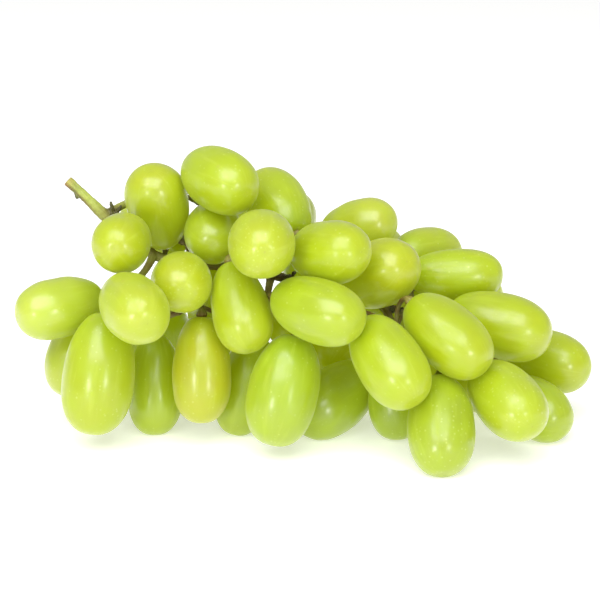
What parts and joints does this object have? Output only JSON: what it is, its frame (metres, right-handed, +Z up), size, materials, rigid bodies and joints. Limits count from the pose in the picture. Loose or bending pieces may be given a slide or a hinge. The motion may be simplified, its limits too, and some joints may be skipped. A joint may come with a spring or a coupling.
{
  "type": "bunch of grapes",
  "caption": "Bunch of long green seedless table grapes with its cut stalk, lying on its side, each berry seated on its own pedicel.",
  "frame": {"origin": "middle of the bunch's box, on the surface it lies on", "axes": "+X along the bunch from the cut stalk to the tail, +Y to the far side, +Z up"},
  "size_m": [0.1578, 0.1012, 0.0791],
  "materials": {
    "green_skin": "waxy, slightly translucent fruit skin, yellow-green",
    "golden_skin": "waxy, slightly translucent fruit skin, riper and more yellow",
    "stem": "green herbaceous stem with brown woody patches"
  },
  "bodies": {
    "root": {"crown_berry_1": "green_skin", "crown_berry_2": "green_skin", "crown_berry_3": "green_skin", "crown_berry_4": "green_skin", "far_shoulder_berry_1": "green_skin", "far_shoulder_berry_2": "green_skin", "far_shoulder_berry_3": "green_skin", "far_shoulder_berry_4": "green_skin", "far_side_berry_1": "green_skin", "far_side_berry_2": "green_skin", "far_side_berry_3": "green_skin", "far_side_berry_4": "green_skin", "far_tail_berry_1": "green_skin", "far_tail_berry_2": "green_skin", "far_tail_berry_3": "green_skin", "far_tail_berry_4": "green_skin", "front_berry_1": "green_skin", "front_berry_2": "green_skin", "front_berry_3": "green_skin", "front_berry_4": "green_skin", "lower_berry_1": "green_skin", "lower_berry_2": "green_skin", "lower_berry_3": "golden_skin", "lower_berry_4": "green_skin", "lower_berry_5": "green_skin", "middle_berry_1": "green_skin", "middle_berry_2": "golden_skin", "middle_berry_3": "green_skin", "middle_berry_4": "green_skin", "near_side_berry_1": "green_skin", "near_side_berry_2": "green_skin", "near_side_berry_3": "green_skin", "near_side_berry_4": "green_skin", "ridge_berry_1": "green_skin", "ridge_berry_2": "green_skin", "ridge_berry_3": "green_skin", "ridge_berry_4": "green_skin", "ridge_berry_5": "green_skin", "shoulder_berry_1": "green_skin", "shoulder_berry_2": "green_skin", "shoulder_berry_3": "green_skin", "shoulder_berry_4": "green_skin", "shoulder_berry_5": "green_skin", "side_berry_1": "green_skin", "side_berry_2": "green_skin", "side_berry_3": "green_skin", "side_berry_4": "green_skin", "side_berry_5": "green_skin", "stem": "stem", "tail_berry_1": "green_skin", "tail_berry_2": "green_skin", "tail_berry_3": "green_skin", "tail_berry_4": "green_skin", "tail_berry_5": "green_skin"}
  },
  "joints": []
}
